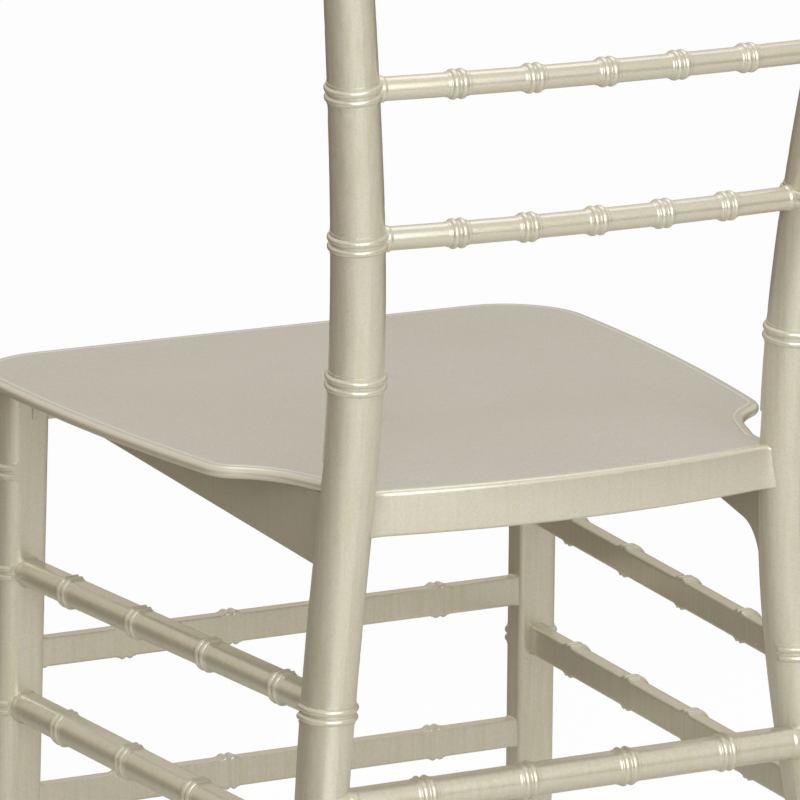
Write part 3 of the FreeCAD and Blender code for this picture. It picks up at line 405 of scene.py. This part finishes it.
# %% Round bars of the back
TURN = np.linspace(0, 2 * math.pi, 48, endpoint=False)
BOW = 9.5 * MM
FIVE_NODES = np.array([-2, -1, 0, 1, 2]) / 3
# Height, the post's place across and in depth there, the post's radius and the bar's radius
RUNGS = {
    "back_rung_lower": (597, 148.42, 8.31, 15.723, 6.95),
    "back_rung_middle": (685.5, 156.8, 18.3, 14.9, 6.95),
    "back_rung_upper": (774, 167.863, 30.448, 14.169, 6.95),
    "crest_rail": (888, 184.0, 49.0, 13.9, 8.2),
}
SPINDLE_RADIUS, SPINDLES = 5.6 * MM, 6
TENON = 9 * MM


def bow_arc(height, post_x, post_y):
    """Centre in depth and radius of the circle through both posts that bows by BOW: the radius
    is the sum of the squares of the half width and the bow, over twice the bow."""
    radius = (post_x ** 2 + BOW ** 2) / (2 * BOW)
    return post_y + MIDDLE + BOW - radius, radius


def back_bar(node, height, post_x, post_y, post_radius, thick):
    """A bar on the arc: its centre line turns about the circle's centre, and its section is a
    circle of the bar's radius plus the rise of the nodes."""
    height, post_x, post_y, post_radius, thick = (
        v * MM for v in (height, post_x, post_y, post_radius, thick))
    middle, radius = bow_arc(height, post_x, post_y)
    root = radius * math.asin((post_x - post_radius) / radius)
    reach = root + TENON
    marks = reach + root * FIVE_NODES
    roots = [reach - root, reach + root]
    along = places_along(2 * reach, marks, roots)
    angle = ((along - reach) / radius)[:, None]
    around = thick + node_rise(along, marks, roots)[:, None]
    out = radius + around * np.cos(TURN)
    rings = np.stack([out * np.sin(angle), middle + out * np.cos(angle),
                      height + around * np.sin(TURN)], -1)
    return skin(node + "_cane", rings, back_resin, node)


for node, sizes in RUNGS.items():
    made = back_bar(node, *sizes)
    print(made.name, "faces:", len(made.data.polygons))


# %% Straight bars: the spindles
def straight_rings(start, end, inward, around, along):
    """Rings round a straight line; around gives each ring's distance from the line, first by
    place and then by angle from the inward direction."""
    direction = (end - start) / np.linalg.norm(end - start)
    inward = inward - direction * inward.dot(direction)
    inward = inward / np.linalg.norm(inward)
    sideways = np.cross(direction, inward)
    angles = np.linspace(0, 2 * math.pi, around.shape[1], endpoint=False)[None, :, None]
    spokes = np.cos(angles) * inward + np.sin(angles) * sideways
    return start + along[:, None, None] * direction + around[:, :, None] * spokes


def on_arc(height, post_x, post_y, post_radius, share):
    """A point of a rung's centre line at a share of its clear half width."""
    middle, radius = bow_arc(height, post_x * MM, post_y * MM)
    x = share * (post_x - post_radius) * MM
    return np.array([x, middle + math.sqrt(radius ** 2 - x ** 2), height * MM])


for count in range(1, SPINDLES + 1):
    share = 1 - 2 * count / (SPINDLES + 1)
    low = on_arc(*RUNGS["back_rung_upper"][:4], share)
    high = on_arc(*RUNGS["crest_rail"][:4], share)
    length = np.linalg.norm(high - low)
    roots = [RUNGS["back_rung_upper"][4] * MM, length - RUNGS["crest_rail"][4] * MM]
    along = places_along(length, [length / 2], roots)
    rise_here = node_rise(along, [length / 2], roots)
    around = SPINDLE_RADIUS + np.repeat(rise_here[:, None], len(TURN), 1)
    skin(f"back_spindle_{count}_cane",
         straight_rings(low, high, np.array([0.0, 1.0, 0.0]), around, along), back_resin,
         f"back_spindle_{count}")
print("spindles:", SPINDLES)

# %% [markdown]
# ## Stretchers with a flat inner face
# The bars between the legs are round outside, where they show, and flat inside, as half a cane
# would be. Above and below, the cane is slightly flattened too, which gives it a pale strip.
# Cutting a round bar with planes would leave sharp edges. A soft minimum of the circle and of
# the flats' distances rounds each edge by less than a millimetre. The rings fade out at the
# inner face but run over the strips, as they do on the real bar.

# %% Seven stretchers
FLAT, STRIP_SHARE, EDGE_MELT, LEAST_SLOPE = 4.4 * MM, 0.9, 0.32 * MM, 0.05
WIDE_TURN = np.linspace(0, 2 * math.pi, 96, endpoint=False)
LEG_TOP, LEG_FOOT = np.array([166.6, -370.0]), np.array([173.4, -383.8])
SEAT_UNDER = 437.5


def leg_corner(height):
    """The inner rear corner of the left front leg at a height, in millimetres."""
    return LEG_FOOT + (LEG_TOP - LEG_FOOT) * height / SEAT_UNDER


def half_cane(around):
    """The section of a stretcher: the smallest of the round outline, of the inner flat's
    distance over the cosine of the angle, and of the strips' distance over its sine."""
    slope = np.maximum(np.cos(WIDE_TURN), LEAST_SLOPE)
    tilt = np.maximum(np.abs(np.sin(WIDE_TURN)), LEAST_SLOPE)
    round_bar = np.repeat(around[:, None], len(WIDE_TURN), 1)
    flat = np.broadcast_to(FLAT / slope, round_bar.shape)
    return -soft_most([-round_bar, -flat, -round_bar * STRIP_SHARE / tilt], EDGE_MELT)


def stretcher(node, start, end, inward, thick, marks, roots):
    """A half-cane bar between two points, in millimetres, with nodes and collars."""
    start, end = (np.array([p[0], p[1] + MIDDLE / MM, p[2]]) * MM for p in (start, end))
    marks, roots = np.array(marks) * MM, np.array(roots) * MM
    along = places_along(np.linalg.norm(end - start), marks, roots)
    around = half_cane(thick * MM + node_rise(along, marks, roots))
    rings = straight_rings(start, end, np.array(inward, float), around, along)
    return skin(node + "_cane", rings, frame_resin, node)


WIDE_BAR, SLIM_BAR = 10.4, 9.4
FOUR_NODES = np.array([-1.5, -0.5, 0.5, 1.5])
FRONT_PITCH, REAR_PITCH, SIDE_PITCH, SIDE_FIRST = 74.5, 67.0, 83.7, 56.0
LEG_HALF_WIDTH, LEG_HALF_DEPTH, FRONT_INSET = 15.0, 13.0, 6.8
FRONT_BARS = (("front_stretcher_lower", 165.5), ("front_stretcher_upper", 262.0))
for node, height in FRONT_BARS:
    corner = leg_corner(height)
    half, depth = corner[0] + LEG_HALF_WIDTH, corner[1] - FRONT_INSET
    stretcher(node, (half, depth, height), (-half, depth, height), (0, 1, 0), WIDE_BAR,
              half + FRONT_PITCH * FOUR_NODES, (LEG_HALF_WIDTH, 2 * half - LEG_HALF_WIDTH))

REAR_HALF, REAR_DEPTH, REAR_HEIGHT, REAR_ROOT = 160.0, 0.5, 262.0, 148.6
stretcher("rear_stretcher", (REAR_HALF, REAR_DEPTH, REAR_HEIGHT),
          (-REAR_HALF, REAR_DEPTH, REAR_HEIGHT), (0, -1, 0), WIDE_BAR,
          REAR_HALF + REAR_PITCH * FOUR_NODES, (REAR_HALF - REAR_ROOT, REAR_HALF + REAR_ROOT))

SIDE_FRONT, SIDE_REAR = 12.5, 5.0
# Name, height, the post's place across and in depth there, reach of its flat, the bar's radius
SIDE_BARS = (("side_stretcher_lower", 229.0, (165.366, -1.758), 12.05, WIDE_BAR),
             ("side_stretcher_upper", 316.5, (155.604, -10.51), 9.85, SLIM_BAR))
for node, height, post, flat_reach, thick in SIDE_BARS:
    corner = leg_corner(height)
    for side, word in ((1, "left"), (-1, "right")):
        start = (side * (corner[0] + SIDE_FRONT), corner[1] - LEG_HALF_DEPTH, height)
        end = (side * (post[0] - SIDE_REAR), post[1], height)
        marks = LEG_HALF_DEPTH + SIDE_FIRST + SIDE_PITCH * np.arange(4)
        stretcher(f"{node}_{word}", start, end, (-side, 0, 0), thick, marks,
                  (LEG_HALF_DEPTH, math.dist(start, end) - flat_reach))
print("stretchers drawn:", len(FRONT_BARS) + 1 + 2 * len(SIDE_BARS))

# %% [markdown]
# ## The seat
# The seat is a thin plate with a fully rounded rim. Beside each rear post its outline draws in
# with an ear and a notch. The outline is a chain of arcs, each of which leaves the last in its
# direction. In the plane of complex numbers an arc is short to write: the chord to a place on
# it turns evenly while its length follows a sine. Rings of points then run from the middle of
# the top over the rim to the middle of the underside. A narrow groove sets the rim off as a
# bead, and the middle is dished slightly.

# %% Outline of the seat
SEAT_STOPS = (153.5 - 423.5j, 209.5 - 367.5j, 187 - 112j, 176 - 95j, 150.5 - 61.5j,
              143.5 - 42j, 140.5 - 26j, 139.5 - 11.9j)
REAR_EDGE = 4.3
ARC_POINTS, RIM_POINTS = 60, 840


def arc_chain(stops, direction):
    """Points on arcs through the stops: chord times sin(turn s) / sin(turn), turned by turn s."""
    pieces = []
    for a, b in zip(stops, stops[1:]):
        chord = b - a
        turn = np.angle(chord / direction)
        share = np.linspace(0, 1, ARC_POINTS, endpoint=False)
        pieces.append(a + abs(chord) * np.sin(turn * share) / math.sin(turn)
                      * direction / abs(direction) * np.exp(1j * turn * share))
        direction = chord / abs(chord) * np.exp(1j * turn)
    return np.concatenate(pieces + [[stops[-1]]])


side_edge = arc_chain(SEAT_STOPS, 1 + 0j)
rear_half = np.linspace(SEAT_STOPS[-1].real, 0, ARC_POINTS)[1:]
rear_line = rear_half + 1j * (REAR_EDGE + (SEAT_STOPS[-1].imag - REAR_EDGE)
                              * (rear_half / SEAT_STOPS[-1].real) ** 2)
half_edge = np.concatenate([side_edge, rear_line])
whole = np.concatenate([half_edge, -half_edge[::-1].conj()[1:]])
whole = np.append(whole, whole[0])
run = np.concatenate([[0], np.cumsum(np.abs(np.diff(whole)))])
even = np.linspace(0, run[-1], RIM_POINTS, endpoint=False)
rim = (np.interp(even, run, whole.real) + 1j * np.interp(even, run, whole.imag)) * MM
rim = rim + 1j * MIDDLE
heading = np.roll(rim, -2) - np.roll(rim, 2)
outward = -1j * heading / np.abs(heading)
print("rim length in mm:", round(run[-1]))


# %% The seat's skin
SEAT_TOP, BEAD = 445 * MM, 3.75 * MM
DISH_DEPTH, DISH_REACH, DISH_MIDDLE = 1.8 * MM, 185 * MM, MIDDLE * 1j - 230 * MM * 1j
GROOVE_DEPTH, GROOVE_WIDTH, GROOVE_PLACE = 0.6 * MM, 1.1 * MM, 6.2 * MM
GROOVE_END, GROOVE_FADE = 24 * MM, 12 * MM
INNER, LEAST_LEAN = 12 * MM, 0.5
PLATE_SHARES = np.concatenate([[0.01], np.linspace(0.05, 1, 26)])
UNDER_SHARES = (0.97, 0.8, 0.5, 0.2, 0.01)
INSETS, ROUND = np.linspace(INNER, BEAD, 18)[1:], np.linspace(math.pi / 2, -math.pi / 2, 17)[1:]


def seat_height(plan, inset):
    """Top of the seat: level, less a smooth bowl and less a groove beside the rim's bead.

    The bowl is its depth times the square of one minus the distance squared, and the groove is
    a bell curve of the inset. It fades out towards the rear rail, which carries the bead there.
    """
    off = np.clip(np.abs(plan - DISH_MIDDLE) / DISH_REACH, 0, 1)
    fade = np.clip((MIDDLE - GROOVE_END - plan.imag) / GROOVE_FADE, 0, 1)
    groove = GROOVE_DEPTH * fade * np.exp(-((inset - GROOVE_PLACE) / GROOVE_WIDTH) ** 2)
    return SEAT_TOP - DISH_DEPTH * (1 - off ** 2) ** 2 - groove


def seat_ring(plan, height):
    """Points of the seat from their plan, as complex numbers, and their height."""
    return np.stack([plan.real, plan.imag, np.broadcast_to(height, plan.shape)], -1)


def moved_in(inset):
    """The rim moved in: along its normal over the bead, and then straight to the middle by the
    rest of the inset divided by the cosine between the two directions."""
    start = rim - outward * BEAD
    spoke = (DISH_MIDDLE - start) / np.abs(DISH_MIDDLE - start)
    lean = np.maximum(-(spoke * outward.conj()).real, LEAST_LEAN)
    return start + spoke * (inset - BEAD) / lean


rows = []
inner_edge = moved_in(INNER)
for share in PLATE_SHARES:
    plan = DISH_MIDDLE + (inner_edge - DISH_MIDDLE) * share
    rows.append(seat_ring(plan, seat_height(plan, INNER)))
for inset in INSETS:
    plan = moved_in(inset)
    rows.append(seat_ring(plan, seat_height(plan, inset)))
for angle in ROUND:
    plan = rim - outward * BEAD * (1 - math.cos(angle))
    rows.append(seat_ring(plan, SEAT_TOP - BEAD + BEAD * math.sin(angle)))
under = rim - outward * BEAD
for share in UNDER_SHARES:
    plan = DISH_MIDDLE + (under - DISH_MIDDLE) * share
    rows.append(seat_ring(plan, SEAT_TOP - 2 * BEAD))
seat = skin("seat_panel_skin", np.array(rows)[::-1], seat_resin, "seat_panel")
print(seat.name, "faces:", len(seat.data.polygons))

# %% [markdown]
# ## The seat's bead
# The plate is duller, and its colour is the champagne painted greyer and darker, a painted
# reflection of the grey that its top mirrors, for plate and frame are one resin. Its bead shows
# the champagne colour of the frame and a soft shine, without the plate's tooth. A shader doesn't
# know how far away the rim is. It does know the height, so whatever lies below the dished top
# must be the bead, the groove beside it, or the underside, which gets the same finish and doesn't
# show.

# %% Champagne on the bead
BEAD_START, BEAD_FULL = 0.1 * MM, 0.5 * MM
BEAD_POLISH, BEAD_SMOOTH = 0.1, 0.92
shader = seat_resin.node_tree.nodes["Principled BSDF"]
bump = shader.inputs["Normal"].links[0].from_node
base, dull, tooth = (Wire(seat_resin.node_tree, made.inputs[word].links[0].from_socket)
                     for made, word in ((shader, "Base Color"), (shader, "Roughness"),
                                        (bump, "Height")))
place = base.node("ShaderNodeTexCoord", {}, out="Object")
level = place.node("ShaderNodeVectorMath", {0: place, 1: (1, 1, 0)}, operation="MULTIPLY")
apart = apart_from(level, (0, DISH_MIDDLE.imag, 0))
off = apart.node("ShaderNodeClamp", {"Value": apart * (1 / DISH_REACH)})
bowl = 1 - off * off
below = SEAT_TOP - bowl * bowl * DISH_DEPTH - height_of(place)
share = below.between(BEAD_START, BEAD_FULL)
blend_colours(share, base, CHAMPAGNE + (1,)).into(shader, "Base Color")
(dull - share * BEAD_POLISH).into(shader, "Roughness")
(tooth * (1 - share * BEAD_SMOOTH)).into(bump, "Height")
print("polished bead:", seat_resin.name)

# %% [markdown]
# ## The rear rail
# Behind the seat a rail bows between the posts. Its top edge is a round bead that stands just
# above the seat and catches the light, and its face flares where it runs into the posts. It is
# an outline of straight runs and quarter rounds, carried along the bow.

# %% The rear rail's skin
RAIL_BACK, RAIL_BOW, RAIL_HALF, RAIL_END = 11.3, 13.3, 128.0, 139.0
RAIL_LOW, RAIL_HIGH = 419.0, 446.2
RAIL_LIP, RAIL_DEPTH = 7.0, 14.0
RAIL_ROUNDS, RAIL_ROWS, CORNER_POINTS = (2.0, 3.2, 2.6, 0.2, 0.6, 0.8), 121, 7
FLARE_RISE, FLARE_REACH, FLARE_PLACE, FLARE_MOST = 3.0, 4.0, 133.5, 1.6


def rounded_outline(corners, rounds):
    """A closed outline in which each corner is a quarter round of its own radius."""
    corners = np.array(corners, float)
    points = []
    for k, (corner, turn) in enumerate(zip(corners, rounds)):
        before = corners[k - 1] - corner
        after = corners[(k + 1) % len(corners)] - corner
        before, after = before / np.linalg.norm(before), after / np.linalg.norm(after)
        centre = corner + (before + after) * turn
        for angle in np.linspace(0, math.pi / 2, CORNER_POINTS):
            points.append(centre - turn * (after * math.cos(angle) + before * math.sin(angle)))
    return np.array(points)


section = rounded_outline(
    [(0, RAIL_LOW), (0, RAIL_HIGH), (-RAIL_LIP, RAIL_HIGH), (-RAIL_LIP, SEAT_UNDER),
     (-RAIL_DEPTH, SEAT_UNDER), (-RAIL_DEPTH, RAIL_LOW)], RAIL_ROUNDS)
across = np.linspace(-RAIL_END, RAIL_END, RAIL_ROWS)
rail_radius = (RAIL_HALF ** 2 + RAIL_BOW ** 2) / (2 * RAIL_BOW)
flare = FLARE_RISE * np.exp((np.abs(across) - FLARE_PLACE) / FLARE_REACH).clip(0, FLARE_MOST)
face = RAIL_BACK - rail_radius + np.sqrt(rail_radius ** 2 - across ** 2)
depth = face[:, None] + section[:, 0] + flare[:, None] * (section[:, 0] > -RAIL_LIP / 2)
rings = np.stack([np.broadcast_to(across[:, None], depth.shape), depth + MIDDLE / MM,
                  np.broadcast_to(section[:, 1], depth.shape)], -1) * MM
rail = skin("rear_seat_rail_skin", rings, rail_resin, "rear_seat_rail")
print(rail.name, "faces:", len(rail.data.polygons))

# %% [markdown]
# ## Floor, background and light
# A product of one pale colour is photographed on white paper, between large soft lamps. Only
# the camera sees the white: a white that also lit the chair would wash its tone out. Apart from
# the lamps, what lights the chair and shows in its coat is a grey sheet with dark, warm
# surroundings beyond it, and a sky that is dim and warm near the horizon and brighter above. The
# background is pure white to the camera. The floor is so nearly: almost all that the camera sees
# of it is its own glow, so the chair's shadow on it is very faint.

# %% Floor and white background
FLOOR_HALF, FLOOR_GLOW = 14.0, 0.98
SHEET_PLACE, SHEET_REACH, SHEET_FADE = (-0.5, 1.3, 0), 1.5, 1.7
FIBRES, PAPER_ROUGHNESS = 180, 0.9
SHEET_DARK, SHEET_LIGHT = (0.6, 0.595, 0.57, 1), (0.64, 0.635, 0.61, 1)
SURROUNDINGS, WHITE = (0.15, 0.125, 0.09, 1), (1, 1, 1, 1)


def stage_plane(name, half, height):
    """A large level square."""
    corners = [(x * half, y * half, height) for x, y in ((-1, -1), (1, -1), (1, 1), (-1, 1))]
    mesh = bpy.data.meshes.new(name)
    mesh.from_pydata(corners, [], [(0, 1, 2, 3)])
    made = bpy.data.objects.new(name, mesh)
    bpy.context.collection.objects.link(made)
    return made


def seen_by_camera(wire):
    """1 for what the camera sees directly, and 0 for reflections and scattered light."""
    return wire.node("ShaderNodeLightPath", {}, out="Is Camera Ray")


floor = stage_plane("floor", FLOOR_HALF, 0.0)
paper, shader, place = blank_material("white_paper")
sheet = blend_colours(speckle(place, FIBRES, 4.0), SHEET_DARK, SHEET_LIGHT)
beyond = apart_from(place, SHEET_PLACE).between(SHEET_REACH, SHEET_FADE * SHEET_REACH)
blend_colours(beyond, sheet, SURROUNDINGS).into(shader, "Base Color")
shader.inputs["Roughness"].default_value = PAPER_ROUGHNESS
glow = place.node("ShaderNodeEmission", {"Color": WHITE, "Strength": 1.0})
mix = place.node("ShaderNodeMixShader", {0: seen_by_camera(place) * FLOOR_GLOW,
                                         1: Wire(place.tree, shader.outputs[0]), 2: glow})
mix.into(place.tree.nodes["Material Output"], "Surface")
floor.data.materials.append(paper)
print("floor:", floor.name, paper.name)

# %% Sky
SKY_LOW, SKY_HIGH, SKY_EDGES = 0.25, 0.7, (0.02, 0.24)
HORIZON_TINT, SKY_TINT, TINT_EDGES = (1, 0.82, 0.54, 1), (1, 0.96, 0.89, 1), (0, 0.5)
world = bpy.context.scene.world or bpy.data.worlds.new("studio")
bpy.context.scene.world = world
world.use_nodes = True
background = world.node_tree.nodes["Background"]
heading = Wire(world.node_tree, None).node("ShaderNodeTexCoord", {}, out="Generated")
seen, steep = seen_by_camera(heading), height_of(heading)
dome = steep.between(*SKY_EDGES) * (SKY_HIGH - SKY_LOW) + SKY_LOW
warm = blend_colours(steep.between(*TINT_EDGES), HORIZON_TINT, SKY_TINT)
blend_colours(seen, warm, WHITE).into(background, "Color")
((1 - seen) * dome + seen).into(background, "Strength")
print("sky:", world.name)

# %% Soft lamps
CHAIR_MIDDLE, LAMP_TINT = (0, 0, 0.5), (0.94, 0.98, 1)
# Name, place, width and power
LAMPS = (("key_lamp", (0.55, 2.7, 1.6), 2.3, 58), ("top_lamp", (-0.3, -0.4, 2.7), 1.8, 12))
for name, place, width, power in LAMPS:
    lamp = bpy.data.lights.new(name, "AREA")
    lamp.shape, lamp.size, lamp.energy, lamp.color = "SQUARE", width, power, LAMP_TINT
    made = bpy.data.objects.new(name, lamp)
    bpy.context.collection.objects.link(made)
    made.location = place
    toward = Vector(CHAIR_MIDDLE) - Vector(place)
    made.rotation_euler = toward.to_track_quat("-Z", "Y").to_euler()
bpy.context.scene.view_settings.view_transform = "Standard"
print("lamps:", [lamp.name for lamp in bpy.data.lights])
